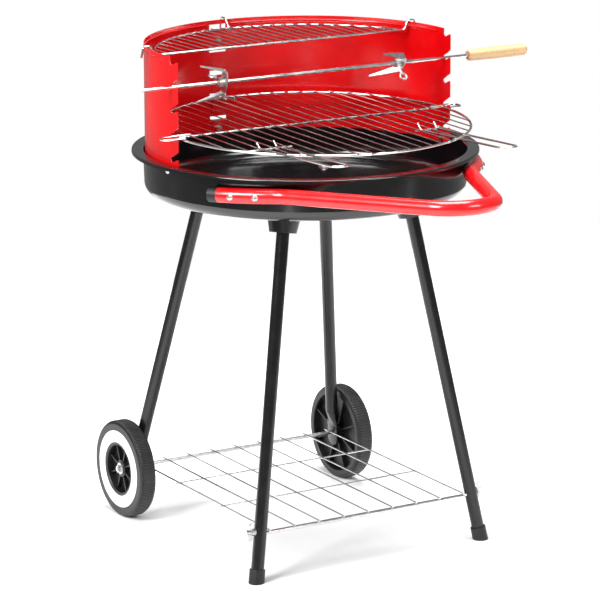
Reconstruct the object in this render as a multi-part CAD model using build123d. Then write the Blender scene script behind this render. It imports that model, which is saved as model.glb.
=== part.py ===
from build123d import *
import os
from math import asin, atan, atan2, cos, degrees, hypot, pi, radians, sin, sqrt, tan

# A round charcoal grill on four splayed legs: a shallow flanged bowl, a half-round notched windshield
# bolted inside its rim, a cooking grate and a warming rack hung on the windshield, a hand-turned spit,
# a bowed push handle, a wire shelf between the legs and a pair of wheels on the rear ones.
# The model is drawn with the bowl's axis at x = y = 0 and the floor at z = 0, the open side to -Y and
# the spit along X, and is moved at the end so that the origin is the middle of its footprint.

# ---- fits and clearances -------------------------------------------------------------------------
running_gap = 0.05       # radial gap between a turning or sliding piece and its shaft
screw_gap = 0.2          # radial gap between a screw and the hole that it passes through
thread_gap = 0.04        # radial gap that stands for a thread
rest_gap = 0.3           # gap between a piece that lifts off and what it rests on
weld = 0.5               # how deep crossing wires are melted into each other

# ---- bowl ----------------------------------------------------------------------------------------
rim_height = 595.0       # floor to the top of the flange
bowl_depth = 65.0        # flange top to the underside of the floor
bowl_radius = 241.0      # outside of the wall, under the flange
bowl_taper = 2.0         # how much narrower the wall is at the bottom
bowl_sheet = 1.2
bowl_corner = 16.0       # outside radius between wall and floor
flange_width = 17.0
flange_bend = 2.0
lip_depth = 4.8          # the flange's edge is turned down by this

# ---- windshield ----------------------------------------------------------------------------------
shield_height = 158.0    # above the flange
shield_below = 16.0      # how far it reaches down into the bowl
shield_radius = 238.0    # outside of the outer panel
shield_sheet = 1.0
shield_lap_gap = 0.05
shield_turn = 4.0        # degrees that the round part goes past the half circle at each end
shield_straight = 18.5   # straight length after the round part
seam_angle = 93.0        # where the two panels lap
lap_half = 11.3          # half the width of the lap
bead_drop = 6.5
bead_rise = 1.5
bead_groove = 0.8
bead_short = 5.0         # degrees between the bead's end and the lap or the front edge

notch_count = 5
notch_pitch = 35.57
first_notch_drop = 11.7  # top edge to the bottom of the first notch
notch_radius = 5.0
notch_depth = 20.0       # edge to the deepest point
notch_mouth_top = 16.3   # height of the mouth's upper corner above the notch's bottom
notch_lip = 4.7          # height of the lip that keeps a rod in
notch_lip_flat = 3.0
open_notch_depth = 19.0  # how far the corner above the first notch is cut back
slot_width = 29.0
slot_height = 7.5
slot_rise = 1.5          # slots' middles above the notches' bottoms

# ---- fasteners -----------------------------------------------------------------------------------
m5 = 5.0
m5_head = 9.5
m5_head_height = 3.0
m5_nut = 8.0
m5_nut_height = 4.0
m6 = 6.0
m6_head = 12.0
m6_head_height = 3.6
m6_washer = 18.0
m6_washer_height = 1.4
m6_nut = 10.0
m6_nut_height = 4.0
rim_bolt_drop = 9.5      # flange top to the bolts that hold the windshield
rim_bolt_angles = (-3.0, 93.0, 182.5)
screw_proud = 1.5        # how far a screw stands out of its nut

# ---- legs ----------------------------------------------------------------------------------------
leg_diameter = 19.0
leg_wall = 1.2
socket_x = 106.0         # where a leg's axis meets the bowl's floor
socket_front_y = 114.5
socket_rear_y = 118.0
foot_x = 197.0           # where a front leg's axis meets the floor
foot_y = 181.4
socket_height = 32.0
socket_end_radius = 20.0
socket_slope = 0.2       # how fast the cup widens towards the bowl
socket_web = 6.0
nut_pocket = 6.8
leg_top_gap = 8.5        # socket web to the leg's end, room for the nut
cap_radius = 11.6
cap_height = 20.0
cap_floor = 4.0          # along the leg, under its end

# ---- wheels and axle -----------------------------------------------------------------------------
wheel_radius = 75.0
wheel_width = 27.0
wheel_inner_x = 183.0
axle_diameter = 6.0
axle_leg_x = 180.0       # where a rear leg's axis meets the axle
axle_y = 212.0
flat_width = 28.0        # the rear legs are pressed flat where the axle goes through
flat_thickness = 4.4
flat_start = 40.0        # above the axle, where the tube begins to flatten
flat_full = 17.0         # above the axle, where it is flat
flat_end = 22.0          # below the axle
boss_radius = 13.0
boss_inset = 2.5         # boss end inside the tyre's inner face
boss_outset = 5.0        # boss end inside the tyre's outer face
web_inner = 11.0         # tyre's inner face to the web
web_thickness = 4.0
rim_inner_radius = 62.0
ring_outer = 60.0
ring_inner = 42.0
ring_thickness = 1.5
hub_radius = 37.0        # opening on the wheel's outer side
wheel_ribs = 8
rib_thickness = 2.2

# ---- shelf ---------------------------------------------------------------------------------------
shelf_rod = 6.0
shelf_rod_z = 72.0       # where its bent end crosses a front leg's axis
shelf_rod_bend_x = 172.0
shelf_stub = 15.0        # beyond the leg
shelf_wire = 2.5
shelf_wires = 9
shelf_pitch = 42.5
shelf_cross_y = (-37.0, 95.0)
shelf_cross_half = 173.0

# ---- push handle ---------------------------------------------------------------------------------
grip_tube = 22.0
grip_wall = 1.2
grip_drop = 26.2         # flange top to the tube's axis
grip_slope = 0.05        # it rises towards the front
grip_level_y = -150.0    # where it hangs by grip_drop
grip_end_angle = 209.1
grip_leave_angle = 227.8
grip_turn = 21.6
grip_bend = 60.0
grip_front_radius = 57.4
grip_cap_length = 14.5
grip_spigot = 11.0
grip_screw_angles = (214.2, 222.5)

# ---- cooking grate -------------------------------------------------------------------------------
grate_notch = 3          # counted from the top, starting at 0
grate_radius = 230.0
grate_centre_y = -27.0
grate_tilt = 1.2         # degrees that the front hangs lower than the back
grate_dip = 2.6          # how far the grate hangs below its hairpins
grate_ring = 3.6
grate_bar = 3.4          # the crossbar and the hairpins
grate_wire = 2.0
grate_pitch = 20.7
grate_wires = 21
grate_wire_shift = -5.0  # the wires sit a little to the left in the ring
hairpin_left = 262.0     # outside ends of the hairpins
hairpin_right = 252.0
hairpin_gap = 23.5       # between a hairpin's two strands
hairpin_inner = 208.0    # where the notch strand ends on the crossbar
grate_hook_wire = 3.2
grate_hook_half = 8.0
grate_hook_reach = 0.9   # past the windshield, from the wire's axis

# ---- lifting handles -----------------------------------------------------------------------------
lift_wire = 3.0
lift_half = 14.0         # half the distance between a loop's strands
lift_rise = 0.055        # how fast the strands rise outwards over the grate
lift_prong_top = 8.2     # above the grate's plane
lift_prong_lean = 8.0
lift_cross_height = -1.0
# for each handle: its middle, its crosspiece, its outer end, and how far the crosspiece reaches
lift_left = (-153.0, -147.0, -347.0, 40.0)
lift_right = (122.5, -146.0, -357.0, 25.0)

# ---- warming rack --------------------------------------------------------------------------------
rack_bar = 3.4
rack_hoop = 3.0          # the curved back and the rear hook
rack_wire = 2.0
rack_drop = 12.0         # windshield's top edge to the bars' axis
rack_front_y = 66.0
rack_radius = 221.0
rack_pitch = 16.6
rack_wires = 25
rack_hook_room = 6.5     # wall to the axis of a hook's outer leg
rack_hook_lean = 4.0     # how far that leg slants outwards
rack_hook_length = 16.0

# ---- spit ----------------------------------------------------------------------------------------
spit_notch = 1
spit_diameter = 5.0
spit_tip_x = -297.0
spit_point = 16.0
spit_grip_x = 276.0
spit_grip_length = 107.0
spit_grip_radius = 9.3
spit_in_grip = 45.0
fork_left_x = -149.0
fork_right_x = 156.0
fork_left_turn = 192.0
fork_right_turn = 46.0
fork_half = 18.0         # spit axis to where the tines start
fork_tine = 44.0
fork_spread = 29.0       # spit axis to the tines' tips
fork_sheet = 2.0
fork_width = 17.0        # at the rod
fork_knee_width = 10.0   # where the tines start
fork_point = 2.0
collar_radius = 6.6
collar_length = 12.0
eye_centre = 24.4
eye_radius = 5.2
eye_wire = 1.5


# ---- derived sizes -------------------------------------------------------------------------------
floor_z = rim_height - bowl_depth                  # underside of the bowl
floor_top = floor_z + bowl_sheet
top_z = rim_height + shield_height
shield_bottom = rim_height - shield_below
flange_radius = bowl_radius + flange_width
inner_panel_radius = shield_radius - shield_sheet - shield_lap_gap
turn = radians(shield_turn)
edge_y = -(shield_radius * sin(turn) + shield_straight * cos(turn))
notch_y = edge_y + notch_depth - notch_radius      # axis of a rod that lies in a notch
rod_front_fraction = shelf_rod_z / floor_z
shelf_rod_x = foot_x - (foot_x - socket_x) * rod_front_fraction
shelf_rod_y = -(foot_y - (foot_y - socket_front_y) * rod_front_fraction)
axle_z = wheel_radius
wheel_outer_x = wheel_inner_x + wheel_width
spit_end_x = spit_grip_x + spit_grip_length


def notch_z(number):
    return top_z - first_notch_drop - number * notch_pitch


grate_z = notch_z(grate_notch) + rest_gap + grate_bar / 2
grate_wire_height = grate_ring / 2 + grate_wire / 2 - weld
spit_z = notch_z(spit_notch) + rest_gap + spit_diameter / 2
rack_z = top_z - rack_drop
grip_z = rim_height - grip_drop
lift_seat = grate_ring / 2 + rest_gap + lift_wire / 2


# ---- small helpers -------------------------------------------------------------------------------
def between(start, end, radius):
    """A round rod from one point to another."""
    direction = Vector(*end) - Vector(*start)
    plane = Plane(origin=start, z_dir=direction)
    return plane * Cylinder(radius, direction.length, align=(Align.CENTER, Align.CENTER, Align.MIN))


def along(plane, radius, start, end):
    """A round rod on a plane's normal, from one height to another."""
    rod = Cylinder(radius, end - start, align=(Align.CENTER, Align.CENTER, Align.MIN))
    return plane * Pos(0, 0, start) * rod


def swept(path, radius):
    """A round wire along a path."""
    section = Plane(origin=path @ 0, z_dir=path % 0) * Circle(radius)
    return sweep(section, path=path)


def hexagon(plane, across_flats, start, end, hole_radius):
    """A hexagonal nut on a plane's normal."""
    outline = RegularPolygon(across_flats / sqrt(3), 6) - Circle(hole_radius)
    return plane * Pos(0, 0, start) * extrude(outline, end - start)


def domed_screw(plane, shank, head, head_height, length):
    """A screw whose head sits on the plane and whose shank goes down through it."""
    dome_radius = (head * head / 4 + head_height * head_height) / (2 * head_height)
    dome = Pos(0, 0, head_height - dome_radius) * Sphere(dome_radius)
    blank = Cylinder(head / 2, head_height, align=(Align.CENTER, Align.CENTER, Align.MIN))
    screw = (dome & blank) + Cylinder(shank / 2, length, align=(Align.CENTER, Align.CENTER, Align.MAX))
    slot = Pos(0, 0, head_height) * Box(head, head / 8, head_height / 2)
    return plane * (screw - slot)


def fused(pieces):
    """One solid out of many that touch."""
    whole = pieces[0]
    for piece in pieces[1:]:
        whole = whole + piece
    return whole


def polar(radius, angle, z=0.0):
    return (radius * cos(radians(angle)), radius * sin(radians(angle)), z)


def radial_plane(radius, angle, z):
    """A plane square to the radius, facing outwards."""
    return Plane(origin=polar(radius, angle, z), x_dir=(0, 0, 1), z_dir=polar(1, angle))


def mirrored(shape):
    return mirror(shape, about=Plane.YZ)


# ---- legs' axes ----------------------------------------------------------------------------------
def leg_plane(side, rear):
    """Origin on the bowl's floor, z down the leg, x as near to the axle's line as it can be."""
    top = Vector(side * socket_x, socket_rear_y if rear else -socket_front_y, floor_z)
    if rear:
        low = Vector(side * axle_leg_x, axle_y, axle_z)
    else:
        low = Vector(side * foot_x, -foot_y, 0)
    down = (low - top).normalized()
    across = (Vector(1, 0, 0) - down * down.X).normalized()
    return Plane(origin=top, x_dir=across, z_dir=down)


def leg_length(rear):
    if rear:
        return hypot(axle_leg_x - socket_x, axle_y - socket_rear_y, floor_z - axle_z)
    return hypot(foot_x - socket_x, foot_y - socket_front_y, floor_z)


def socket_web_bottom(plane):
    """Distance down the leg's axis to the level of the socket's web."""
    return socket_web / -plane.z_dir.Z


# ---- bowl ----------------------------------------------------------------------------------------
def make_bowl():
    foot = bowl_radius - bowl_taper
    under = FilletPolyline(
        (0, floor_z),
        (foot, floor_z),
        (bowl_radius, rim_height - bowl_sheet),
        (flange_radius - bowl_sheet, rim_height - bowl_sheet),
        (flange_radius - bowl_sheet, rim_height - lip_depth),
        radius=[bowl_corner, flange_bend, flange_bend / 2],
    )
    over = FilletPolyline(
        (0, floor_top),
        (foot - bowl_sheet, floor_top),
        (bowl_radius - bowl_sheet, rim_height),
        (flange_radius, rim_height),
        (flange_radius, rim_height - lip_depth),
        radius=[bowl_corner - bowl_sheet, flange_bend + bowl_sheet, flange_bend / 2 + bowl_sheet],
    )
    section = make_face([under, Line(under @ 1, over @ 1), over, Line(over @ 0, under @ 0)])
    bowl = revolve(Plane.XZ * section, Axis.Z, 360)
    for side in (-1, 1):
        for rear in (False, True):
            plane = leg_plane(side, rear)
            drill = Plane(origin=(plane.origin.X, plane.origin.Y, floor_z))
            bowl = bowl - along(drill, m6 / 2 + screw_gap, -bowl_sheet, 2 * bowl_sheet)
    for angle in rim_bolt_angles:
        hole = radial_plane(bowl_radius, angle, rim_height - rim_bolt_drop)
        bowl = bowl - along(hole, m5 / 2 + screw_gap, -3 * bowl_sheet, 2 * bowl_sheet)
    for angle in grip_screw_angles:
        hole = radial_plane(bowl_radius, angle, grip_height(polar(bowl_radius, angle)[1]))
        cut = along(hole, m5 / 2 + screw_gap, -4 * bowl_sheet, 2 * bowl_sheet)
        bowl = bowl - cut - mirrored(cut)
    return bowl


# ---- windshield ----------------------------------------------------------------------------------
def round_band(outer_radius, start_angle, end_angle):
    """The round stretch of a panel."""
    strip = Pos(outer_radius - shield_sheet / 2, (top_z + shield_bottom) / 2)
    section = strip * Rectangle(shield_sheet, top_z - shield_bottom)
    return Rot(0, 0, start_angle) * revolve(Plane.XZ * section, Axis.Z, end_angle - start_angle)


def straight_end(outer_radius, side):
    """The straight stretch between the round part and the front edge."""
    angle = -shield_turn if side > 0 else 180 + shield_turn
    box = Box(
        shield_sheet,
        shield_straight,
        top_z - shield_bottom,
        align=(Align.MAX, Align.MAX if side > 0 else Align.MIN, Align.MIN),
    )
    return Rot(0, 0, angle) * Pos(outer_radius, 0, shield_bottom) * box


def bead(outer_radius, start_angle, end_angle):
    """The stiffening bead near the top: a rib inside and a groove outside."""
    rib = Plane.XZ * Pos(outer_radius - shield_sheet, top_z - bead_drop) * Circle(bead_rise)
    groove = Plane.XZ * Pos(outer_radius, top_z - bead_drop) * Circle(bead_groove)
    sweep_angle = end_angle - start_angle
    turned = Rot(0, 0, start_angle)
    return turned * revolve(rib, Axis.Z, sweep_angle), turned * revolve(groove, Axis.Z, sweep_angle)


def notch_outline(number):
    """One notch in the front edge, in the Y-Z plane: a mouth that slopes in and down to a round seat."""
    bottom = notch_z(number)
    centre_u = notch_depth - notch_radius
    reach = hypot(centre_u - notch_lip_flat, notch_lip - notch_radius)
    aim = atan2(notch_lip - notch_radius, notch_lip_flat - centre_u)
    tangent = (aim % (2 * pi)) + atan2(sqrt(reach * reach - notch_radius ** 2), notch_radius)
    seat_end = (centre_u + notch_radius * cos(tangent), notch_radius + notch_radius * sin(tangent))
    if number == 0:
        rise = first_notch_drop + 1
        upper = [(-2, rise), (open_notch_depth, rise)]
    else:
        slope = (notch_mouth_top - notch_radius) / notch_depth
        upper = [(-2, notch_mouth_top + 2 * slope), (0, notch_mouth_top)]
    corners = upper + [(notch_depth, notch_radius)]
    placed = [(edge_y + u, bottom + v) for u, v in corners]
    seat = [(edge_y + centre_u, bottom), (edge_y + seat_end[0], bottom + seat_end[1])]
    lip = [(edge_y + notch_lip_flat, bottom + notch_lip), (edge_y - 2, bottom + notch_lip)]
    curves = [Polyline(*placed), ThreePointArc(placed[-1], seat[0], seat[1])]
    curves.append(Polyline(seat[1], *lip, placed[0]))
    return make_face(curves)


def notch_cutters(side):
    middle = side * shield_radius
    cutters = []
    for number in range(notch_count):
        outline = Plane(origin=(middle, 0, 0), x_dir=(0, 1, 0), z_dir=(1, 0, 0)) * notch_outline(number)
        cutters.append(extrude(outline, 12, both=True))
    return cutters


def slot_cutters():
    cutters = []
    for number in range(notch_count):
        plane = radial_plane(shield_radius, seam_angle, notch_z(number) + slot_rise)
        cutters.append(plane * Box(slot_height, slot_width, 8 * shield_sheet))
    return cutters


def make_panel(side):
    """Side -1 is the outer panel on the left, side 1 the inner one on the right."""
    lap = degrees(lap_half / shield_radius)
    if side < 0:
        radius = shield_radius
        start, end = seam_angle - lap, 180 + shield_turn
        bead_from, bead_to = seam_angle + lap + bead_short / 2, end - bead_short
    else:
        radius = inner_panel_radius
        start, end = -shield_turn, seam_angle + lap
        bead_from, bead_to = start + bead_short, seam_angle - lap - bead_short / 2
    rib, groove = bead(radius, bead_from, bead_to)
    panel = round_band(radius, start, end) + straight_end(radius, side) + rib - groove
    for cutter in notch_cutters(side) + slot_cutters():
        panel = panel - cutter
    for angle in rim_bolt_angles:
        hole = radial_plane(shield_radius, angle, rim_height - rim_bolt_drop)
        panel = panel - along(hole, m5 / 2 + screw_gap, -4, 4)
    hole = radial_plane(shield_radius, seam_angle, seam_bolt_z())
    return panel - along(hole, m5 / 2 + screw_gap, -4, 4)


def seam_bolt_z():
    return (notch_z(0) + notch_z(1)) / 2


def windshield_joints():
    """Places of the bolts: angle, height, radius under the head outside, radius under the nut inside."""
    places = []
    for angle in rim_bolt_angles:
        inside = shield_radius - shield_sheet if angle > seam_angle else inner_panel_radius - shield_sheet
        places.append((angle, rim_height - rim_bolt_drop, bowl_radius + 0.1, inside - 0.1))
    seam_inside = inner_panel_radius - shield_sheet - 0.1
    places.append((seam_angle, seam_bolt_z(), shield_radius + 0.1, seam_inside))
    return places


def make_windshield_bolts():
    bolts = []
    for angle, z, outside, inside in windshield_joints():
        grip = outside - inside + m5_nut_height + screw_proud
        bolts.append(domed_screw(radial_plane(outside, angle, z), m5, m5_head, m5_head_height, grip))
    return bolts


def make_windshield_nuts():
    nuts = []
    for angle, z, outside, inside in windshield_joints():
        plane = radial_plane(inside, angle, z)
        nuts.append(hexagon(plane, m5_nut, -m5_nut_height, 0, m5 / 2 + thread_gap))
    return nuts


# ---- sockets and legs ----------------------------------------------------------------------------
def make_socket(side, rear):
    plane = leg_plane(side, rear)
    above = 10.0
    length = socket_height + above
    wide = socket_end_radius + socket_slope * length
    cone = Cone(wide, socket_end_radius, length, align=(Align.CENTER, Align.CENTER, Align.MIN))
    cup = plane * Pos(0, 0, -above) * cone
    x, y = plane.origin.X, plane.origin.Y
    lid = Pos(x, y, floor_z) * Box(200, 200, 60, align=(Align.CENTER, Align.CENTER, Align.MIN))
    cup = cup - lid
    web = socket_web_bottom(plane)
    cup = cup - along(plane, leg_diameter / 2 + running_gap, web + leg_top_gap - 1, socket_height + 5)
    upright = Plane(origin=(x, y, floor_z), z_dir=(0, 0, -1))
    cup = cup - along(upright, nut_pocket, socket_web, socket_web + leg_top_gap + 2)
    return cup - along(upright, m6 / 2 + screw_gap, -1, socket_web + 1)


def make_leg_tube(plane, start, end):
    outer = along(plane, leg_diameter / 2, start, end)
    return outer - along(plane, leg_diameter / 2 - leg_wall, start - 1, end + 1)


def leg_start(plane):
    return socket_web_bottom(plane) + leg_top_gap


def make_front_leg(side):
    plane = leg_plane(side, False)
    leg = make_leg_tube(plane, leg_start(plane), leg_length(False) - cap_floor)
    hole = rod_plane(side)
    return leg - along(hole, shelf_rod / 2 + screw_gap, -leg_diameter, leg_diameter)


def make_rear_leg(side):
    plane = leg_plane(side, True)
    axle_at = leg_length(True)
    start = leg_start(plane)
    flat_from = axle_at - flat_start
    tube = along(plane, leg_diameter / 2, start, flat_from)
    bore = along(plane, leg_diameter / 2 - leg_wall, start - 1, flat_from - leg_wall)
    section_a = plane * Pos(0, 0, flat_from) * Ellipse(leg_diameter / 2, leg_diameter / 2)
    section_b = plane * Pos(0, 0, axle_at - flat_full) * Ellipse(flat_thickness / 2, flat_width / 2)
    neck = loft([section_a, section_b])
    blade_length = flat_full + flat_end
    blade = Pos(0, 0, axle_at - flat_full) * extrude(Ellipse(flat_thickness / 2, flat_width / 2), blade_length)
    round_centre = axle_at + flat_end - flat_width / 2
    keep = Pos(0, 0, round_centre) * Rot(0, 90, 0) * Cylinder(flat_width / 2, 4 * flat_thickness)
    keep = keep + Pos(0, 0, round_centre) * Box(
        4 * flat_thickness, flat_width, 2 * blade_length, align=(Align.CENTER, Align.CENTER, Align.MAX)
    )
    leg = tube + neck + plane * (blade & keep) - bore
    return leg - between((-300, axle_y, axle_z), (300, axle_y, axle_z), axle_diameter / 2 + screw_gap)


def make_foot_cap(side):
    plane = leg_plane(side, False)
    floor_at = leg_length(False)
    start = floor_at - cap_height
    cap = along(plane, cap_radius, start, floor_at + cap_radius)
    ground = Box(1000, 1000, 100, align=(Align.CENTER, Align.CENTER, Align.MAX))
    cap = cap - ground
    return cap - along(plane, leg_diameter / 2 + running_gap, start - 1, floor_at - cap_floor + 0.1)


def make_socket_fasteners():
    bolts, washers, nuts = [], [], []
    for side in (-1, 1):
        for rear in (False, True):
            at = leg_plane(side, rear).origin
            plane = Plane(origin=(at.X, at.Y, floor_top))
            head = Plane(origin=(at.X, at.Y, floor_top + m6_washer_height))
            length = m6_washer_height + bowl_sheet + socket_web + m6_nut_height + screw_proud
            bolts.append(domed_screw(head, m6, m6_head, m6_head_height, length))
            washer = along(plane, m6_washer / 2, 0, m6_washer_height)
            washers.append(washer - along(plane, m6 / 2 + screw_gap, -1, m6_washer_height + 1))
            nut_top = -bowl_sheet - socket_web
            nuts.append(hexagon(plane, m6_nut, nut_top - m6_nut_height, nut_top, m6 / 2 + thread_gap))
    return bolts, washers, nuts


# ---- wheels --------------------------------------------------------------------------------------
def make_wheel():
    """The right-hand wheel, turned about the axle's line."""
    inner, outer = wheel_inner_x, wheel_outer_x
    bore = axle_diameter / 2 + running_gap
    web = inner + web_inner
    web_out = web + web_thickness
    edge = wheel_radius
    seat = outer - ring_thickness - 0.1
    outline = Polyline(
        (inner + boss_inset, bore),
        (inner + boss_inset, boss_radius),
        (web, boss_radius),
        (web, rim_inner_radius),
        (inner + 1, rim_inner_radius),
        (inner, rim_inner_radius + 1),
        (inner, edge - 5),
        (inner + 1.5, edge - 1.6),
        (inner + 5, edge),
        (outer - 5, edge),
        (outer - 1.5, edge - 1.6),
        (outer, edge - 5),
        (outer, ring_outer + 0.2),
        (seat, ring_outer + 0.2),
        (seat, ring_inner - 0.2),
        (outer - 0.6, ring_inner - 0.2),
        (outer - 1.2, hub_radius + 1),
        (outer - 2.2, hub_radius),
        (web_out, hub_radius - 1),
        (web_out, boss_radius),
        (outer - boss_outset, boss_radius),
        (outer - boss_outset, bore),
        close=True,
    )
    wheel = revolve(make_face(outline), Axis.X, 360)
    for number in range(wheel_ribs):
        turned = Rot(360 / wheel_ribs * (number + 0.5), 0, 0)
        span = rim_inner_radius - boss_radius + 2
        rib = Pos(web + 0.5, 0, boss_radius - 1) * Box(
            web_inner - 3, rib_thickness, span, align=(Align.MAX, Align.CENTER, Align.MIN)
        )
        short = hub_radius - boss_radius + 0.5
        face_rib = Pos(web_out - 0.5, 0, boss_radius - 1) * Box(
            6.5, rib_thickness, short, align=(Align.MIN, Align.CENTER, Align.MIN)
        )
        wheel = wheel + turned * rib + turned * face_rib
    return Pos(0, axle_y, axle_z) * wheel


def make_wheel_ring():
    plane = Plane(origin=(wheel_outer_x, axle_y, axle_z), z_dir=(1, 0, 0))
    ring = along(plane, ring_outer, -ring_thickness, -0.1)
    return ring - along(plane, ring_inner, -10, 10)


def hub_face():
    return wheel_outer_x - boss_outset + rest_gap


def make_axle():
    end = hub_face() + m6_washer_height + m6_nut_height + screw_proud
    return between((-end, axle_y, axle_z), (end, axle_y, axle_z), axle_diameter / 2)


def make_hub_washer():
    plane = Plane(origin=(hub_face(), axle_y, axle_z), z_dir=(1, 0, 0))
    washer = along(plane, m6_washer / 2, 0, m6_washer_height)
    return washer - along(plane, axle_diameter / 2 + running_gap, -1, 10)


def make_hub_nut():
    plane = Plane(origin=(hub_face() + m6_washer_height, axle_y, axle_z), z_dir=(1, 0, 0))
    return hexagon(plane, m6_nut, 0, m6_nut_height, axle_diameter / 2 + thread_gap)


# ---- shelf ---------------------------------------------------------------------------------------
def rod_plane(side):
    """On the front leg's axis, where the shelf's bent rod end goes through, z outwards."""
    down = leg_plane(side, False).z_dir
    outwards = Vector(side, 0, -side * down.X / down.Z)
    return Plane(origin=(side * shelf_rod_x, shelf_rod_y, shelf_rod_z), z_dir=outwards)


def shelf_rod_level():
    slope = (foot_x - socket_x) / floor_z
    return shelf_rod_z - slope * (shelf_rod_x - shelf_rod_bend_x)


def make_shelf():
    slope = (foot_x - socket_x) / floor_z
    end_x = shelf_rod_x + leg_diameter / 2 + shelf_stub
    end_z = shelf_rod_z + slope * (end_x - shelf_rod_x)
    level = shelf_rod_level()
    path = Plane(origin=(0, shelf_rod_y, 0), x_dir=(1, 0, 0), z_dir=(0, -1, 0)) * FilletPolyline(
        (-end_x, end_z),
        (-shelf_rod_bend_x, level),
        (shelf_rod_bend_x, level),
        (end_x, end_z),
        radius=20,
    )
    pieces = [swept(path, shelf_rod / 2)]
    front = (shelf_rod_y - shelf_rod / 2, level + shelf_rod / 2 + shelf_wire / 2 - weld)
    rear = (axle_y + axle_diameter, axle_z + axle_diameter / 2 + shelf_wire / 2 + 0.15)
    rise = (rear[1] - front[1]) / (rear[0] - front[0])
    for number in range(shelf_wires):
        x = (number - (shelf_wires - 1) / 2) * shelf_pitch
        pieces.append(between((x, *front), (x, *rear), shelf_wire / 2))
    for y in shelf_cross_y:
        z = front[1] + rise * (y - front[0]) - shelf_wire + weld
        pieces.append(between((-shelf_cross_half, y, z), (shelf_cross_half, y, z), shelf_wire / 2))
    return fused(pieces)


def make_wing_nut(side):
    plane = rod_plane(side)
    start = leg_diameter / 2 + 0.3
    hub = along(plane, 5.2, start, start + 6)
    wing = RectangleRounded(26, 7.5, 3)
    wings = plane * Pos(0, 0, start + 6.5) * Rot(90, 0, 0) * extrude(wing, 1.1, both=True)
    nut = hub + wings
    return nut - along(plane, shelf_rod / 2 + thread_gap, -10, 40)


# ---- push handle ---------------------------------------------------------------------------------
def grip_radius():
    return bowl_radius + grip_tube / 2 + rest_gap


def grip_height(y):
    return grip_z + grip_slope * (grip_level_y - y)


def grip_path():
    """The handle's bow, drawn level: along the wall, outwards, straight, round the front and back."""
    radius = grip_radius()
    start = polar(radius, grip_end_angle)
    middle = polar(radius, (grip_end_angle + grip_leave_angle) / 2)
    leave = polar(radius, grip_leave_angle)
    wall = ThreePointArc(start, middle, leave)
    centre = polar(radius + grip_bend, grip_leave_angle)
    back = grip_leave_angle + 180
    bend_mid = Vector(*centre) + Vector(*polar(grip_bend, back - grip_turn / 2))
    bend_end = Vector(*centre) + Vector(*polar(grip_bend, back - grip_turn))
    bend = ThreePointArc(leave, bend_mid, bend_end)
    heading = grip_leave_angle + 90 - grip_turn
    along_x, along_y = cos(radians(heading)), sin(radians(heading))
    run = -(bend_end.X - along_y * grip_front_radius) / along_x
    arm_end = Vector(bend_end.X + run * along_x, bend_end.Y + run * along_y)
    apex = Vector(0, arm_end.Y + along_x * grip_front_radius - grip_front_radius)
    arm = Line(bend_end, arm_end)
    front = ThreePointArc(arm_end, apex, Vector(-arm_end.X, arm_end.Y))
    half = [wall, bend, arm]
    other = [mirror(piece, about=Plane.YZ) for piece in reversed(half)]
    return half + [front] + other, apex.Y


def grip_frame():
    """The tilted plane that the bow lies in."""
    tilt = Location((0, grip_level_y, grip_z), (-degrees(atan(grip_slope)), 0, 0))
    return tilt * Pos(0, -grip_level_y, 0)


def make_push_handle():
    curves, apex_y = grip_path()
    frame = grip_frame()
    tubes = []
    for radius in (grip_tube / 2, grip_tube / 2 - grip_wall):
        tubes.append(fused([swept(curve, radius) for curve in curves]))
    tube = frame * (tubes[0] - tubes[1])
    for angle in grip_screw_angles:
        y = polar(bowl_radius, angle)[1]
        hole = along(radial_plane(bowl_radius, angle, grip_height(y)), m5 / 2 + screw_gap, -2, 40)
        tube = tube - hole - mirrored(hole)
    return tube


def make_grip_cap():
    """The left-hand end plug."""
    end = Vector(*polar(grip_radius(), grip_end_angle))
    outwards = Vector(*polar(1, grip_end_angle - 90))
    plane = Plane(origin=end, z_dir=outwards)
    body = along(plane, grip_tube / 2, 0.1, grip_cap_length)
    spigot = along(plane, grip_tube / 2 - grip_wall - 0.5, -grip_spigot, 1)
    return grip_frame() * (body + spigot)


def make_grip_fasteners():
    screws, nuts = [], []
    length = grip_tube + rest_gap + bowl_sheet + m5_nut_height + 0.5 + screw_proud
    for angle in grip_screw_angles:
        y = polar(bowl_radius, angle)[1]
        z = grip_height(y)
        outside = radial_plane(bowl_radius + grip_tube + rest_gap + 0.05, angle, z)
        inside = radial_plane(bowl_radius - bowl_sheet - bowl_taper / 2 - 0.1, angle, z)
        screw = domed_screw(outside, m5, m5_head, m5_head_height, length)
        nut = hexagon(inside, m5_nut, -m5_nut_height, 0, m5 / 2 + thread_gap)
        screws += [screw, mirrored(screw)]
        nuts += [nut, mirrored(nut)]
    return screws, nuts


# ---- cooking grate -------------------------------------------------------------------------------
def grate_frame():
    """The grate's own tilted plane, hinged at the notches."""
    turn_point = Pos(0, notch_y, grate_z - grate_dip)
    return turn_point * Rot(grate_tilt, 0, 0) * Pos(0, -notch_y, 0)


def ring_reach(x):
    """Half the ring's length at a distance from its middle line."""
    return sqrt(grate_radius ** 2 - x * x)


def make_hairpin(side, outside):
    """Out through the notch, round, and back in front of the panel onto the ring."""
    strand_y = notch_y - hairpin_gap
    path = FilletPolyline(
        (side * hairpin_inner, notch_y),
        (side * outside, notch_y),
        (side * outside, strand_y),
        (side * ring_reach(strand_y - grate_centre_y), strand_y),
        radius=hairpin_gap / 2 - 0.4,
    )
    return swept(Pos(0, 0, grate_z) * path, grate_bar / 2)


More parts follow.
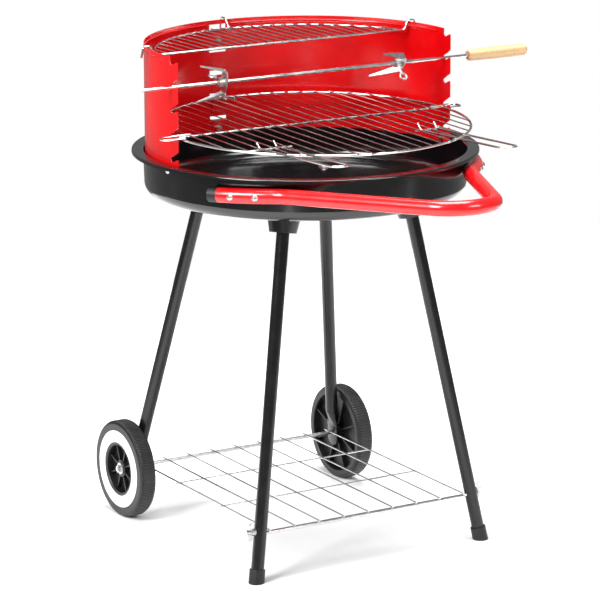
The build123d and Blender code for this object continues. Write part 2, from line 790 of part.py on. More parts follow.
def make_grate():
    frame = grate_frame()
    section = Plane.XZ * Pos(grate_radius, 0) * Circle(grate_ring / 2)
    half_ring = Rot(0, 0, 3) * revolve(section, Axis.Z, 180)
    place = frame * Pos(0, grate_centre_y, 0)
    pieces = []
    bar_x = ring_reach(notch_y - grate_centre_y) + 3
    pieces.append(frame * between((-bar_x, notch_y, 0), (bar_x, notch_y, 0), grate_bar / 2))
    pieces.append(make_hairpin(-1, hairpin_left))
    pieces.append(make_hairpin(1, hairpin_right))
    for number in range(grate_wires):
        x = (number - (grate_wires - 1) / 2) * grate_pitch + grate_wire_shift
        front = (x, grate_centre_y - ring_reach(x), grate_wire_height)
        back = (x, grate_centre_y + ring_reach(x), grate_wire_height)
        pieces.append(frame * between(front, back, grate_wire / 2))
    seam_x, seam_y, _ = polar(shield_radius, seam_angle)
    tip = seam_y + grate_hook_reach
    base = grate_centre_y + grate_radius - 8
    hook = FilletPolyline(
        (seam_x - grate_hook_half, base),
        (seam_x - grate_hook_half, tip),
        (seam_x + grate_hook_half, tip),
        (seam_x + grate_hook_half, base),
        radius=grate_hook_half - 0.5,
    )
    ring_back = (frame * Pos(0, grate_centre_y + grate_radius, 0)).position.Z
    hook_z = ring_back - grate_ring / 2 - grate_hook_wire / 2 + weld
    pieces.append(swept(Pos(0, 0, hook_z) * hook, grate_hook_wire / 2))
    return fused(pieces + [place * half_ring, place * Rot(0, 0, 180) * half_ring])


# ---- lifting handles -----------------------------------------------------------------------------
def make_lifting_handle(sizes):
    """A long wire loop that rests on the ring, with prongs and a crosspiece caught under the wires."""
    middle, cross_y, end_y, cross_half = sizes
    radius = lift_wire / 2
    rest_y = grate_centre_y - ring_reach(abs(middle) + lift_half)
    inner = lift_seat - lift_rise * (cross_y - rest_y)
    outer = lift_seat + lift_rise * (rest_y - end_y)
    pieces = []
    for sign in (-1, 1):
        x = middle + sign * lift_half
        plane = Plane(origin=(x, 0, 0), x_dir=(0, 1, 0), z_dir=(1, 0, 0))
        side = FilletPolyline(
            (cross_y + lift_prong_lean, lift_prong_top),
            (cross_y, inner),
            (rest_y, lift_seat),
            radius=[3],
        )
        pieces.append(swept(plane * side, radius))
    slope = Location((0, rest_y, lift_seat), (-degrees(atan(lift_rise)), 0, 0))
    reach = hypot(rest_y - end_y, outer - lift_seat)
    bow = FilletPolyline(
        (-lift_half, 0), (-lift_half, -reach), (lift_half, -reach), (lift_half, 0), radius=lift_half - 0.5
    )
    pieces.append(Pos(middle, 0, 0) * slope * swept(bow, radius))
    reach_left = (middle - cross_half, cross_y, lift_cross_height)
    reach_right = (middle + cross_half, cross_y, lift_cross_height)
    pieces.append(between(reach_left, reach_right, radius))
    return grate_frame() * fused(pieces)


# ---- warming rack --------------------------------------------------------------------------------
def make_rack():
    radius = rack_bar / 2
    over = top_z + rest_gap + radius
    wall_x = sqrt(shield_radius ** 2 - rack_front_y ** 2)
    out_x = wall_x + rack_hook_room
    end_x = out_x + rack_hook_lean
    in_x = wall_x - 4.5
    corner_x = in_x - 6
    plane = Plane(origin=(0, rack_front_y, 0), x_dir=(1, 0, 0), z_dir=(0, -1, 0))
    bar = FilletPolyline(
        (-end_x, over - rack_hook_length),
        (-out_x, over),
        (-in_x, over),
        (-corner_x, rack_z),
        (corner_x, rack_z),
        (in_x, over),
        (out_x, over),
        (end_x, over - rack_hook_length),
        radius=[4, 4, 6, 6, 4, 4],
    )
    pieces = [swept(plane * bar, radius)]
    start = degrees(asin(rack_front_y / rack_radius))
    section = Plane.XZ * Pos(rack_radius, rack_z) * Circle(rack_hoop / 2)
    pieces.append(Rot(0, 0, start) * revolve(section, Axis.Z, 180 - 2 * start))
    wire_z = rack_z + radius + rack_wire / 2 - weld
    for number in range(rack_wires):
        x = (number - (rack_wires - 1) / 2) * rack_pitch
        back = sqrt(rack_radius ** 2 - x * x)
        pieces.append(between((x, rack_front_y, wire_z), (x, back, wire_z), rack_wire / 2))
    hook = FilletPolyline(
        (rack_radius, rack_z),
        (shield_radius - 6, over),
        (shield_radius + rack_hook_room, over),
        (shield_radius + rack_hook_room + rack_hook_lean, over - rack_hook_length),
        radius=[4, 4],
    )
    rear = Plane(origin=(0, 0, 0), x_dir=(0, 1, 0), z_dir=(1, 0, 0))
    pieces.append(swept(rear * hook, rack_hoop / 2))
    return fused(pieces)


# ---- spit ----------------------------------------------------------------------------------------
def make_spit_rod():
    radius = spit_diameter / 2
    start = spit_tip_x + spit_point
    rod = between((start, notch_y, spit_z), (spit_grip_x + spit_in_grip, notch_y, spit_z), radius)
    point = Plane(origin=(start, notch_y, spit_z), z_dir=(-1, 0, 0)) * Cone(
        radius, 0.4, spit_point, align=(Align.CENTER, Align.CENTER, Align.MIN)
    )
    return rod + point


def make_spit_grip():
    radius = spit_grip_radius
    plane = Plane(origin=(spit_grip_x, notch_y, spit_z), z_dir=(1, 0, 0))
    outline = FilletPolyline(
        (0, 0),
        (radius - 0.8, 0),
        (radius, spit_grip_length * 0.4),
        (radius - 0.5, spit_grip_length),
        (0, spit_grip_length),
        radius=[3.5, 150, 6],
    )
    section = make_face([outline, Line((0, spit_grip_length), (0, 0))])
    grip = plane * revolve(Plane.XZ * section, Axis.Z, 360)
    return grip - along(plane, spit_diameter / 2 + running_gap, -1, spit_in_grip + 0.5)


def make_fork(x, turn_angle):
    """A bent strip with two pointed tines and a collar that a thumbscrew clamps to the rod."""
    outer = FilletPolyline(
        (-fork_tine, fork_spread),
        (0, fork_half),
        (0, -fork_half),
        (-fork_tine, -fork_spread),
        radius=5,
    )
    inner = FilletPolyline(
        (-fork_tine, fork_spread - fork_sheet),
        (-fork_sheet, fork_half - fork_sheet),
        (-fork_sheet, -fork_half + fork_sheet),
        (-fork_tine, -fork_spread + fork_sheet),
        radius=3,
    )
    section = make_face([outer, Line(outer @ 1, inner @ 1), inner, Line(inner @ 0, outer @ 0)])
    strip = extrude(Plane.XZ * section, fork_width / 2, both=True)
    tip, knee = fork_point / 2, fork_knee_width / 2
    plan = Polyline(
        (1, fork_width), (-fork_sheet - 1, fork_width), (-fork_sheet - 1, knee), (-fork_tine, tip),
        (-fork_tine, -tip), (-fork_sheet - 1, -knee), (-fork_sheet - 1, -fork_width), (1, -fork_width),
        close=True,
    )
    strip = strip & extrude(make_face(plan), 2 * fork_spread, both=True)
    wide = fork_width / 2
    face = Polyline(
        (0, wide), (0.4 * fork_half, wide), (fork_half - 1, knee), (fork_spread + 1, knee),
        (fork_spread + 1, -knee), (fork_half - 1, -knee), (0.4 * fork_half, -wide), (-0.4 * fork_half, -wide),
        (1 - fork_half, -knee), (-fork_spread - 1, -knee), (-fork_spread - 1, knee), (1 - fork_half, knee),
        (-0.4 * fork_half, wide), close=True,
    )
    front_view = Plane(origin=(0, 0, 0), x_dir=(0, 0, 1), z_dir=(1, 0, 0)) * make_face(face)
    strip = strip & extrude(front_view, 2 * fork_tine, both=True)
    axis = Plane(origin=(0, 0, 0), z_dir=(1, 0, 0))
    fork = strip + along(axis, collar_radius, -collar_length, -fork_sheet / 2)
    fork = fork - along(axis, spit_diameter / 2 + running_gap, -fork_tine, fork_tine)
    fork = fork - along(screw_axis(), m5 / 2, 0, 2 * collar_radius)
    return fork_place(x, turn_angle) * fork


def screw_axis():
    """The thumbscrew's line, in the fork's own frame."""
    middle = -(collar_length + fork_sheet) / 2
    return Plane(origin=(middle, 0, 0), x_dir=(1, 0, 0), z_dir=(0, -1, 0))


def fork_place(x, turn_angle):
    return Pos(x, notch_y, spit_z) * Rot(turn_angle, 0, 0)


def make_fork_screw(x, turn_angle):
    plane = screw_axis()
    tip = spit_diameter / 2 + 0.15
    shank = along(plane, m5 / 2 - thread_gap, tip, eye_centre - eye_radius)
    eye = plane * Pos(0, 0, eye_centre) * Rot(90, 0, 0) * Torus(eye_radius, eye_wire)
    return fork_place(x, turn_angle) * (shank + eye)


# ---- assembly ------------------------------------------------------------------------------------
def make_all():
    nodes = {"bowl": make_bowl()}
    nodes["windshield_left"] = make_panel(-1)
    nodes["windshield_right"] = make_panel(1)
    nodes["windshield_bolts"] = make_windshield_bolts()
    nodes["windshield_nuts"] = make_windshield_nuts()
    for side, name in ((-1, "left"), (1, "right")):
        nodes["leg_socket_front_" + name] = make_socket(side, False)
        nodes["leg_socket_rear_" + name] = make_socket(side, True)
        nodes["leg_front_" + name] = make_front_leg(side)
        nodes["leg_rear_" + name] = make_rear_leg(side)
        nodes["foot_cap_" + name] = make_foot_cap(side)
        nodes["wing_nut_" + name] = make_wing_nut(side)
    bolts, washers, nuts = make_socket_fasteners()
    nodes["socket_bolts"] = bolts
    nodes["socket_washers"] = washers
    nodes["socket_nuts"] = nuts
    nodes["axle"] = make_axle()
    wheel, ring = make_wheel(), make_wheel_ring()
    nodes["wheel_right"] = wheel
    nodes["wheel_left"] = mirrored(wheel)
    nodes["wheel_ring_right"] = ring
    nodes["wheel_ring_left"] = mirrored(ring)
    washer, nut = make_hub_washer(), make_hub_nut()
    nodes["hub_washers"] = [washer, mirrored(washer)]
    nodes["hub_nuts"] = [nut, mirrored(nut)]
    nodes["shelf_rack"] = make_shelf()
    nodes["push_handle"] = make_push_handle()
    cap = make_grip_cap()
    nodes["handle_cap_left"] = cap
    nodes["handle_cap_right"] = mirrored(cap)
    nodes["handle_screws"], nodes["handle_nuts"] = make_grip_fasteners()
    nodes["main_grate"] = make_grate()
    nodes["lifting_handle_left"] = make_lifting_handle(lift_left)
    nodes["lifting_handle_right"] = make_lifting_handle(lift_right)
    nodes["warming_rack"] = make_rack()
    nodes["spit_rod"] = make_spit_rod()
    nodes["spit_grip"] = make_spit_grip()
    for name, x, turn_angle in (("left", fork_left_x, fork_left_turn), ("right", fork_right_x, fork_right_turn)):
        nodes["fork_" + name] = make_fork(x, turn_angle)
        nodes["fork_screw_" + name] = make_fork_screw(x, turn_angle)
    return nodes


def footprint_middle():
    """Half way between the spit's tip and its grip, and between the push handle and the wheels."""
    front = grip_path()[1] - grip_tube / 2
    back = axle_y + wheel_radius
    return (spit_tip_x + spit_end_x) / 2, (front + back) / 2


def main():
    os.makedirs("parts", exist_ok=True)
    middle_x, middle_y = footprint_middle()
    for name, shape in make_all().items():
        pieces = shape if isinstance(shape, list) else [shape]
        solids = [solid for piece in pieces for solid in piece.solids()]
        placed = [Pos(-middle_x, -middle_y, 0) * solid for solid in solids]
        whole = placed[0] if len(placed) == 1 else Compound(children=placed)
        export_step(whole, "parts/" + name + ".step")
    print("moved by", round(-middle_x, 3), round(-middle_y, 3))
    print("spit axis", round(notch_y - middle_y, 3), round(spit_z, 3))
    print("axle axis", round(axle_y - middle_y, 3), round(axle_z, 3))


main()
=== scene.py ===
import bpy
from math import radians
from mathutils import Matrix, Vector


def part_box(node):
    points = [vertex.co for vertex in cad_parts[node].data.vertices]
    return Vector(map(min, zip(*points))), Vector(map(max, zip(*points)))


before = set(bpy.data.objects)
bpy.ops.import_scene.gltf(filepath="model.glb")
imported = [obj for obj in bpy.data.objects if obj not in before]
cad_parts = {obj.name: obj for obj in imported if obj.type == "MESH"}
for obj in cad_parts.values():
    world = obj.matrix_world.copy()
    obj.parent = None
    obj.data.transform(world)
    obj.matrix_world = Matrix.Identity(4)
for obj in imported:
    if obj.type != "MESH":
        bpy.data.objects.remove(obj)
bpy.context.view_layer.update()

# ---- bowl ------------------------------------------------------------------------------------------
# The fire bowl: one deep-drawn steel pan with a turned-down flange, dipped in black porcelain enamel
# and fired, so that it is glassy, nearly black, and never quite flat.


def linear(colour):
    """An sRGB hex colour as linear red, green, blue and alpha."""
    parts = [int(colour[i:i + 2], 16) / 255 for i in (1, 3, 5)]
    return [p / 12.92 if p <= 0.04045 else ((p + 0.055) / 1.055) ** 2.4 for p in parts] + [1.0]


def add(tree, kind, values=None, links=None, **fields):
    """Adds a node, sets its fields and its sockets' values, and links its sockets to other nodes' outputs."""
    made = tree.nodes.new(kind)
    for name, value in fields.items():
        setattr(made, name, value)
    for name, value in (values or {}).items():
        made.inputs[name].default_value = value
    for name, source in (links or {}).items():
        tree.links.new(source, made.inputs[name])
    return made


def finish(name):
    """A new material: its node tree, its shader and the place on the object in metres."""
    material = bpy.data.materials.new(name)
    material.use_nodes = True
    tree = material.node_tree
    shader = tree.nodes["Principled BSDF"]
    place = add(tree, "ShaderNodeTexCoord").outputs["Object"]
    return material, tree, shader, place


def dress(material, *names):
    """Gives CAD nodes their real finish."""
    for name in names:
        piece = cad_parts[name]
        piece.data.materials.clear()
        piece.data.materials.append(material)


# Black porcelain enamel: fired glass over steel. The ripple of the fired coat is about 5 mm long, the
# drawn sheet under it waves over 90 mm, and dust in the kiln leaves pits about a millimetre across.
black_enamel, tree, shader, place = finish("porcelain_enamel_black")
ripple = add(tree, "ShaderNodeTexNoise", {"Scale": 1 / 0.005, "Detail": 2.0}, {"Vector": place})
waves = add(tree, "ShaderNodeTexNoise", {"Scale": 1 / 0.09, "Detail": 1.0}, {"Vector": place})
pits = add(tree, "ShaderNodeTexVoronoi", {"Scale": 1 / 0.007}, {"Vector": place})
pit_edge = add(tree, "ShaderNodeMapRange", {"From Min": 0.03, "From Max": 0.09}, {"Value": pits.outputs["Distance"]})
tone = add(tree, "ShaderNodeValToRGB", links={"Fac": waves.outputs["Fac"]})
tone.color_ramp.elements[0].color = linear("#060607")
tone.color_ramp.elements[1].color = linear("#0D0D0F")
cloud = add(tree, "ShaderNodeTexNoise", {"Scale": 1 / 0.035, "Detail": 4.0}, {"Vector": place})
gloss = add(tree, "ShaderNodeMapRange", {"To Min": 0.09, "To Max": 0.2}, {"Value": cloud.outputs["Fac"]})
sheet_wave = add(tree, "ShaderNodeBump", {"Strength": 0.5, "Distance": 0.0012}, {"Height": waves.outputs["Fac"]})
coat_ripple = add(tree, "ShaderNodeBump", {"Strength": 0.25, "Distance": 0.0001},
                  {"Height": ripple.outputs["Fac"], "Normal": sheet_wave.outputs["Normal"]})
pitted = add(tree, "ShaderNodeBump", {"Strength": 0.4, "Distance": 0.0001},
             {"Height": pit_edge.outputs["Result"], "Normal": coat_ripple.outputs["Normal"]})
shader.inputs["IOR"].default_value = 1.52
shader.inputs["Coat Weight"].default_value = 0.4
shader.inputs["Coat Roughness"].default_value = 0.05
tree.links.new(tone.outputs["Color"], shader.inputs["Base Color"])
tree.links.new(gloss.outputs["Result"], shader.inputs["Roughness"])
tree.links.new(pitted.outputs["Normal"], shader.inputs["Normal"])
dress(black_enamel, "bowl")

# ---- windshield ------------------------------------------------------------------------------------
# Two quarter panels of thin rolled steel that lap at the back and bolt inside the bowl's rim. They are
# enamelled bright red; the thin sheet keeps upright bands from the rolls that curved it.
red_enamel, tree, shader, place = finish("porcelain_enamel_red")
ripple = add(tree, "ShaderNodeTexNoise", {"Scale": 1 / 0.006, "Detail": 2.0}, {"Vector": place})
upright = add(tree, "ShaderNodeMapping", {"Scale": (1.0, 1.0, 0.12)}, {"Vector": place})
bands = add(tree, "ShaderNodeTexNoise", {"Scale": 1 / 0.028, "Detail": 2.0}, {"Vector": upright.outputs["Vector"]})
clouds = add(tree, "ShaderNodeTexNoise", {"Scale": 1 / 0.06, "Detail": 3.0}, {"Vector": place})
tone = add(tree, "ShaderNodeValToRGB", links={"Fac": clouds.outputs["Fac"]})
tone.color_ramp.elements[0].position = 0.3
tone.color_ramp.elements[0].color = linear("#C40309")
tone.color_ramp.elements[1].position = 0.7
tone.color_ramp.elements[1].color = linear("#DA080D")
pits = add(tree, "ShaderNodeTexVoronoi", {"Scale": 1 / 0.009}, {"Vector": place})
pit_edge = add(tree, "ShaderNodeMapRange", {"From Min": 0.02, "From Max": 0.06}, {"Value": pits.outputs["Distance"]})
specked = add(tree, "ShaderNodeMix", data_type="RGBA", links={"Factor": pit_edge.outputs["Result"]})
specked.inputs["A"].default_value = linear("#7A0408")
tree.links.new(tone.outputs["Color"], specked.inputs["B"])
gloss = add(tree, "ShaderNodeMapRange", {"To Min": 0.12, "To Max": 0.26}, {"Value": clouds.outputs["Fac"]})
rolled = add(tree, "ShaderNodeBump", {"Strength": 0.5, "Distance": 0.0006}, {"Height": bands.outputs["Fac"]})
coat_ripple = add(tree, "ShaderNodeBump", {"Strength": 0.25, "Distance": 0.0001},
                  {"Height": ripple.outputs["Fac"], "Normal": rolled.outputs["Normal"]})
shader.inputs["IOR"].default_value = 1.5
shader.inputs["Coat Weight"].default_value = 0.3
shader.inputs["Coat Roughness"].default_value = 0.06
tree.links.new(specked.outputs["Result"], shader.inputs["Base Color"])
tree.links.new(gloss.outputs["Result"], shader.inputs["Roughness"])
tree.links.new(coat_ripple.outputs["Normal"], shader.inputs["Normal"])
dress(red_enamel, "windshield_left", "windshield_right")

# ---- screws, nuts and washers ----------------------------------------------------------------------
# Cold-headed steel screws with bright zinc plate. The plating is slightly blue and yellow in patches
# a few millimetres wide, and tumbling leaves fine dents in it.
zinc, tree, shader, place = finish("zinc_plated_steel")
patches = add(tree, "ShaderNodeTexNoise", {"Scale": 1 / 0.006, "Detail": 2.0}, {"Vector": place})
tone = add(tree, "ShaderNodeValToRGB", links={"Fac": patches.outputs["Fac"]})
tone.color_ramp.elements[0].position = 0.35
tone.color_ramp.elements[0].color = linear("#B9BDC4")
tone.color_ramp.elements[1].position = 0.65
tone.color_ramp.elements[1].color = linear("#D6D3CB")
dents = add(tree, "ShaderNodeTexNoise", {"Scale": 1 / 0.0012, "Detail": 3.0}, {"Vector": place})
gloss = add(tree, "ShaderNodeMapRange", {"To Min": 0.2, "To Max": 0.42}, {"Value": dents.outputs["Fac"]})
dented = add(tree, "ShaderNodeBump", {"Strength": 0.3, "Distance": 0.00008}, {"Height": dents.outputs["Fac"]})
shader.inputs["Metallic"].default_value = 1.0
tree.links.new(tone.outputs["Color"], shader.inputs["Base Color"])
tree.links.new(gloss.outputs["Result"], shader.inputs["Roughness"])
tree.links.new(dented.outputs["Normal"], shader.inputs["Normal"])
dress(zinc, "windshield_bolts", "windshield_nuts", "socket_bolts", "socket_washers", "socket_nuts",
      "handle_screws", "handle_nuts", "hub_nuts", "hub_washers", "axle", "wing_nut_left", "wing_nut_right")

# ---- legs and their sockets ------------------------------------------------------------------------
# Four 19 mm steel tubes pushed up into cast cups that are screwed under the bowl. Tubes and cups are
# powder coated black: a baked plastic skin with an orange-peel texture about 1.5 mm across.
black_coat, tree, shader, place = finish("powder_coat_black")
peel = add(tree, "ShaderNodeTexNoise", {"Scale": 1 / 0.0015, "Detail": 1.0}, {"Vector": place})
scuffs = add(tree, "ShaderNodeTexNoise", {"Scale": 1 / 0.02, "Detail": 6.0, "Roughness": 0.65}, {"Vector": place})
tone = add(tree, "ShaderNodeValToRGB", links={"Fac": scuffs.outputs["Fac"]})
tone.color_ramp.elements[0].position = 0.35
tone.color_ramp.elements[0].color = linear("#09090A")
tone.color_ramp.elements[1].position = 0.75
tone.color_ramp.elements[1].color = linear("#131315")
gloss = add(tree, "ShaderNodeMapRange", {"To Min": 0.16, "To Max": 0.3}, {"Value": scuffs.outputs["Fac"]})
peeled = add(tree, "ShaderNodeBump", {"Strength": 0.35, "Distance": 0.00012}, {"Height": peel.outputs["Fac"]})
shader.inputs["IOR"].default_value = 1.5
tree.links.new(tone.outputs["Color"], shader.inputs["Base Color"])
tree.links.new(gloss.outputs["Result"], shader.inputs["Roughness"])
tree.links.new(peeled.outputs["Normal"], shader.inputs["Normal"])
corners = [a + "_" + b for a in ("front", "rear") for b in ("left", "right")]
dress(black_coat, *["leg_" + c for c in corners], *["leg_socket_" + c for c in corners])

# ---- foot caps and handle caps ---------------------------------------------------------------------
# Injection-moulded polyethylene plugs, black all through. The mould is spark-eroded, which leaves a
# fine even grain; it is drawn 0.7 mm across here, coarser than the real one, so that it shows.
black_plastic, tree, shader, place = finish("polyethylene_black")
grain = add(tree, "ShaderNodeTexNoise", {"Scale": 1 / 0.0007, "Detail": 2.0}, {"Vector": place})
bloom = add(tree, "ShaderNodeTexNoise", {"Scale": 1 / 0.015, "Detail": 4.0}, {"Vector": place})
tone = add(tree, "ShaderNodeValToRGB", links={"Fac": bloom.outputs["Fac"]})
tone.color_ramp.elements[0].position = 0.3
tone.color_ramp.elements[0].color = linear("#0B0B0C")
tone.color_ramp.elements[1].position = 0.75
tone.color_ramp.elements[1].color = linear("#161618")
gloss = add(tree, "ShaderNodeMapRange", {"To Min": 0.4, "To Max": 0.58}, {"Value": bloom.outputs["Fac"]})
grained = add(tree, "ShaderNodeBump", {"Strength": 0.4, "Distance": 0.00008}, {"Height": grain.outputs["Fac"]})
shader.inputs["IOR"].default_value = 1.5
tree.links.new(tone.outputs["Color"], shader.inputs["Base Color"])
tree.links.new(gloss.outputs["Result"], shader.inputs["Roughness"])
tree.links.new(grained.outputs["Normal"], shader.inputs["Normal"])
dress(black_plastic, "foot_cap_left", "foot_cap_right", "handle_cap_left", "handle_cap_right")

# ---- wheels ----------------------------------------------------------------------------------------
# Moulded black polypropylene wheels on a plain steel axle, each with a white moulded ring pressed into
# its outer face. Short ribs 4.3 mm apart are moulded across the tread, broken by the parting line.
low, high = (Vector(corner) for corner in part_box("wheel_left"))
axle_line = (low + high) / 2
wheel_plastic, tree, shader, place = finish("polypropylene_black_wheel")
centred = add(tree, "ShaderNodeVectorMath", {1: (0.0, axle_line.y, axle_line.z)}, {0: place}, operation="SUBTRACT")
split = add(tree, "ShaderNodeSeparateXYZ", links={"Vector": centred.outputs["Vector"]})
angle = add(tree, "ShaderNodeMath", links={0: split.outputs["Y"], 1: split.outputs["Z"]}, operation="ARCTAN2")
ribs = add(tree, "ShaderNodeMath", {1: 110.0}, {0: angle.outputs["Value"]}, operation="MULTIPLY")
wave = add(tree, "ShaderNodeMath", links={0: ribs.outputs["Value"]}, operation="SINE")
flat = add(tree, "ShaderNodeCombineXYZ", links={"Y": split.outputs["Y"], "Z": split.outputs["Z"]})
radius = add(tree, "ShaderNodeVectorMath", links={0: flat.outputs["Vector"]}, operation="LENGTH")
on_tread = add(tree, "ShaderNodeMapRange", {"From Min": 0.0728, "From Max": 0.0742},
               {"Value": radius.outputs["Value"]})
tread = add(tree, "ShaderNodeMath", links={0: wave.outputs["Value"], 1: on_tread.outputs["Result"]},
            operation="MULTIPLY")
grain = add(tree, "ShaderNodeTexNoise", {"Scale": 1 / 0.0009, "Detail": 2.0}, {"Vector": place})
dust = add(tree, "ShaderNodeTexNoise", {"Scale": 1 / 0.018, "Detail": 5.0}, {"Vector": place})
tone = add(tree, "ShaderNodeValToRGB", links={"Fac": dust.outputs["Fac"]})
tone.color_ramp.elements[0].position = 0.3
tone.color_ramp.elements[0].color = linear("#0A0A0B")
tone.color_ramp.elements[1].position = 0.75
tone.color_ramp.elements[1].color = linear("#171718")
gloss = add(tree, "ShaderNodeMapRange", {"To Min": 0.34, "To Max": 0.5}, {"Value": dust.outputs["Fac"]})
ribbed = add(tree, "ShaderNodeBump", {"Strength": 0.8, "Distance": 0.0005}, {"Height": tread.outputs["Value"]})
grained = add(tree, "ShaderNodeBump", {"Strength": 0.3, "Distance": 0.00008},
              {"Height": grain.outputs["Fac"], "Normal": ribbed.outputs["Normal"]})
shader.inputs["IOR"].default_value = 1.5
tree.links.new(tone.outputs["Color"], shader.inputs["Base Color"])
tree.links.new(gloss.outputs["Result"], shader.inputs["Roughness"])
tree.links.new(grained.outputs["Normal"], shader.inputs["Normal"])
dress(wheel_plastic, "wheel_left", "wheel_right")

white_plastic, tree, shader, place = finish("polypropylene_white")
flow = add(tree, "ShaderNodeTexNoise", {"Scale": 1 / 0.03, "Detail": 3.0}, {"Vector": place})
tone = add(tree, "ShaderNodeValToRGB", links={"Fac": flow.outputs["Fac"]})
tone.color_ramp.elements[0].position = 0.3
tone.color_ramp.elements[0].color = linear("#E3E2DE")
tone.color_ramp.elements[1].position = 0.7
tone.color_ramp.elements[1].color = linear("#F2F1EE")
skin = add(tree, "ShaderNodeTexNoise", {"Scale": 1 / 0.002, "Detail": 2.0}, {"Vector": place})
smooth = add(tree, "ShaderNodeBump", {"Strength": 0.15, "Distance": 0.0001}, {"Height": skin.outputs["Fac"]})
shader.inputs["IOR"].default_value = 1.5
shader.inputs["Roughness"].default_value = 0.3
tree.links.new(tone.outputs["Color"], shader.inputs["Base Color"])
tree.links.new(smooth.outputs["Normal"], shader.inputs["Normal"])
dress(white_plastic, "wheel_ring_left", "wheel_ring_right")

# ---- push handle -----------------------------------------------------------------------------------
# One bent 22 mm steel tube, screwed through the bowl's wall at each side. It has the same red as the
# windshield, but as powder coat: a little softer in gloss, with a 2 mm orange peel.
red_coat, tree, shader, place = finish("powder_coat_red")
peel = add(tree, "ShaderNodeTexNoise", {"Scale": 1 / 0.002, "Detail": 1.0}, {"Vector": place})
clouds = add(tree, "ShaderNodeTexNoise", {"Scale": 1 / 0.025, "Detail": 4.0}, {"Vector": place})
tone = add(tree, "ShaderNodeValToRGB", links={"Fac": clouds.outputs["Fac"]})
tone.color_ramp.elements[0].position = 0.3
tone.color_ramp.elements[0].color = linear("#DC0C12")
tone.color_ramp.elements[1].position = 0.7
tone.color_ramp.elements[1].color = linear("#EE161C")
gloss = add(tree, "ShaderNodeMapRange", {"To Min": 0.16, "To Max": 0.3}, {"Value": clouds.outputs["Fac"]})
peeled = add(tree, "ShaderNodeBump", {"Strength": 0.3, "Distance": 0.0001}, {"Height": peel.outputs["Fac"]})
shader.inputs["IOR"].default_value = 1.5
shader.inputs["Coat Weight"].default_value = 0.35
shader.inputs["Coat Roughness"].default_value = 0.1
tree.links.new(tone.outputs["Color"], shader.inputs["Base Color"])
tree.links.new(gloss.outputs["Result"], shader.inputs["Roughness"])
tree.links.new(peeled.outputs["Normal"], shader.inputs["Normal"])
dress(red_coat, "push_handle")

# ---- wire grates, shelf and spit -------------------------------------------------------------------
# Mild steel wire, cut, bent and resistance-welded, then plated with nickel and chromium. It is nearly a
# mirror, with the drawing die's fine marks and a faint grey haze that comes and goes over 30 mm.
chrome, tree, shader, place = finish("chromed_steel_wire")
haze = add(tree, "ShaderNodeTexNoise", {"Scale": 1 / 0.03, "Detail": 4.0}, {"Vector": place})
tone = add(tree, "ShaderNodeValToRGB", links={"Fac": haze.outputs["Fac"]})
tone.color_ramp.elements[0].position = 0.3
tone.color_ramp.elements[0].color = linear("#C9CACB")
tone.color_ramp.elements[1].position = 0.7
tone.color_ramp.elements[1].color = linear("#ECEBE8")
marks = add(tree, "ShaderNodeTexNoise", {"Scale": 1 / 0.0015, "Detail": 3.0}, {"Vector": place})
gloss = add(tree, "ShaderNodeMapRange", {"To Min": 0.08, "To Max": 0.24}, {"Value": haze.outputs["Fac"]})
marked = add(tree, "ShaderNodeBump", {"Strength": 0.2, "Distance": 0.00005}, {"Height": marks.outputs["Fac"]})
shader.inputs["Metallic"].default_value = 1.0
tree.links.new(tone.outputs["Color"], shader.inputs["Base Color"])
tree.links.new(gloss.outputs["Result"], shader.inputs["Roughness"])
tree.links.new(marked.outputs["Normal"], shader.inputs["Normal"])
dress(chrome, "main_grate", "warming_rack", "lifting_handle_left", "lifting_handle_right", "shelf_rack",
      "spit_rod")
dress(zinc, "fork_left", "fork_right", "fork_screw_left", "fork_screw_right")

# ---- spit grip -------------------------------------------------------------------------------------
# Turned beech, sanded and lightly waxed, driven onto the rod. Beech is pale and even, with brown ray
# flecks 2 to 3 mm long that lie along the grain, and growth rings about 4 mm apart.
beech, tree, shader, place = finish("beech_waxed")
along = add(tree, "ShaderNodeMapping", {"Scale": (0.12, 1.0, 1.0)}, {"Vector": place})
rings = add(tree, "ShaderNodeTexWave", {"Scale": 1 / 0.026, "Distortion": 3.5, "Detail": 2.0, "Detail Scale": 1.2},
            {"Vector": along.outputs["Vector"]}, bands_direction="Z")
fibres = add(tree, "ShaderNodeTexNoise", {"Scale": 1 / 0.0011, "Detail": 3.0}, {"Vector": along.outputs["Vector"]})
tone = add(tree, "ShaderNodeValToRGB", links={"Fac": rings.outputs["Fac"]})
tone.color_ramp.elements[0].color = linear("#D9AC79")
tone.color_ramp.elements[1].color = linear("#EBC79A")
streaks = add(tree, "ShaderNodeMix", {"Factor": 0.25}, data_type="RGBA", blend_type="MULTIPLY")
tree.links.new(tone.outputs["Color"], streaks.inputs["A"])
tree.links.new(fibres.outputs["Fac"], streaks.inputs["B"])
fleck_grid = add(tree, "ShaderNodeMapping", {"Scale": (0.3, 1.0, 1.0)}, {"Vector": place})
flecks = add(tree, "ShaderNodeTexVoronoi", {"Scale": 1 / 0.0016}, {"Vector": fleck_grid.outputs["Vector"]})
fleck_edge = add(tree, "ShaderNodeMapRange", {"From Min": 0.12, "From Max": 0.22},
                 {"Value": flecks.outputs["Distance"]})
flecked = add(tree, "ShaderNodeMix", data_type="RGBA", links={"Factor": fleck_edge.outputs["Result"]})
flecked.inputs["A"].default_value = linear("#B57E4C")
tree.links.new(streaks.outputs["Result"], flecked.inputs["B"])
gloss = add(tree, "ShaderNodeMapRange", {"To Min": 0.38, "To Max": 0.55}, {"Value": fibres.outputs["Fac"]})
grain = add(tree, "ShaderNodeBump", {"Strength": 0.3, "Distance": 0.0001}, {"Height": fibres.outputs["Fac"]})
shader.inputs["IOR"].default_value = 1.47
tree.links.new(flecked.outputs["Result"], shader.inputs["Base Color"])
tree.links.new(gloss.outputs["Result"], shader.inputs["Roughness"])
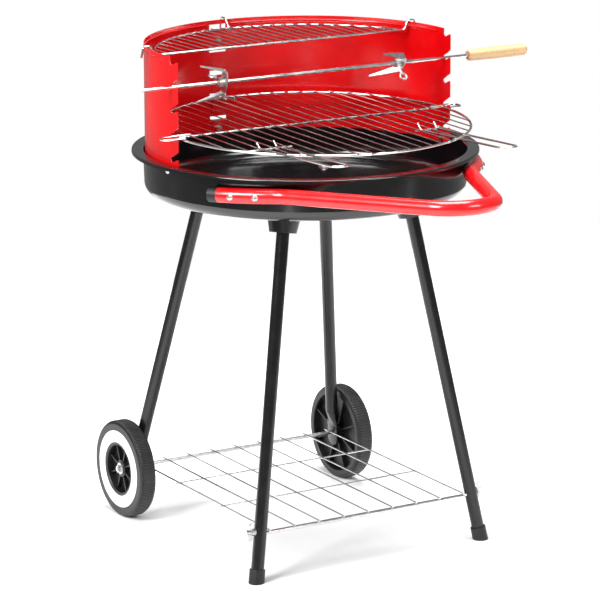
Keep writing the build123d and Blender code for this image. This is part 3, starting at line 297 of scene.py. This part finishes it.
tree.links.new(grain.outputs["Normal"], shader.inputs["Normal"])
dress(beech, "spit_grip")

# ---- studio ----------------------------------------------------------------------------------------
# A plain pale floor that ends where it is as white as the backdrop, an even white surround, one large soft light to the left
# and a weaker one to the right.
paper, tree, shader, place = finish("floor_matte_paper")
fibre = add(tree, "ShaderNodeTexNoise", {"Scale": 1 / 0.4, "Detail": 2.0}, {"Vector": place})
tone = add(tree, "ShaderNodeValToRGB", links={"Fac": fibre.outputs["Fac"]})
tone.color_ramp.elements[0].color = linear("#F8F8F8")
tone.color_ramp.elements[1].color = linear("#FCFCFC")
shader.inputs["Roughness"].default_value = 0.9
shader.inputs["Specular IOR Level"].default_value = 0.1
tree.links.new(tone.outputs["Color"], shader.inputs["Base Color"])
bpy.ops.mesh.primitive_plane_add(size=3.2)
floor = bpy.context.object
floor.name = "floor"
floor.data.materials.append(paper)

world = bpy.data.worlds.new("studio_white")
bpy.context.scene.world = world
world.use_nodes = True
surround = world.node_tree.nodes["Background"]
surround.inputs["Color"].default_value = linear("#FFFFFF")
seen = world.node_tree.nodes.new("ShaderNodeLightPath")
level = world.node_tree.nodes.new("ShaderNodeMath")
level.operation = "MULTIPLY_ADD"
level.inputs[1].default_value = 0.76     # the backdrop itself is lit to full white
level.inputs[2].default_value = 0.24     # what the room gives to the grill
world.node_tree.links.new(seen.outputs["Is Camera Ray"], level.inputs[0])
world.node_tree.links.new(level.outputs["Value"], surround.inputs["Strength"])


def soft_light(name, at, size, power):
    """A large square light aimed at the middle of the grill."""
    lamp = bpy.data.lights.new(name, "AREA")
    lamp.size = size
    lamp.energy = power
    holder = bpy.data.objects.new(name, lamp)
    bpy.context.collection.objects.link(holder)
    holder.location = at
    holder.rotation_euler = (Vector((0, 0, 0.5)) - Vector(at)).to_track_quat("-Z", "Y").to_euler()


soft_light("key_left", (-3.2, -0.6, 2.6), 1.6, 190)
soft_light("fill_front", (1.2, -3.4, 2.4), 1.4, 70)
soft_light("top", (0.2, 0.4, 3.4), 2.0, 160)

lens = bpy.data.cameras.new("camera")
lens.sensor_width = 36
lens.lens = 202.17
lens.clip_end = 100
camera = bpy.data.objects.new("camera", lens)
bpy.context.collection.objects.link(camera)
facing = Matrix.Rotation(radians(58.47 - 90), 4, "Z") @ Matrix.Rotation(radians(90 - 13.727), 4, "X")
turned = facing @ Matrix.Rotation(radians(-0.167), 4, "Z")
camera.matrix_world = Matrix.Translation((-2.6187, -4.0950, 1.5591)) @ turned
bpy.context.scene.camera = camera
bpy.context.scene.view_settings.view_transform = "Standard"
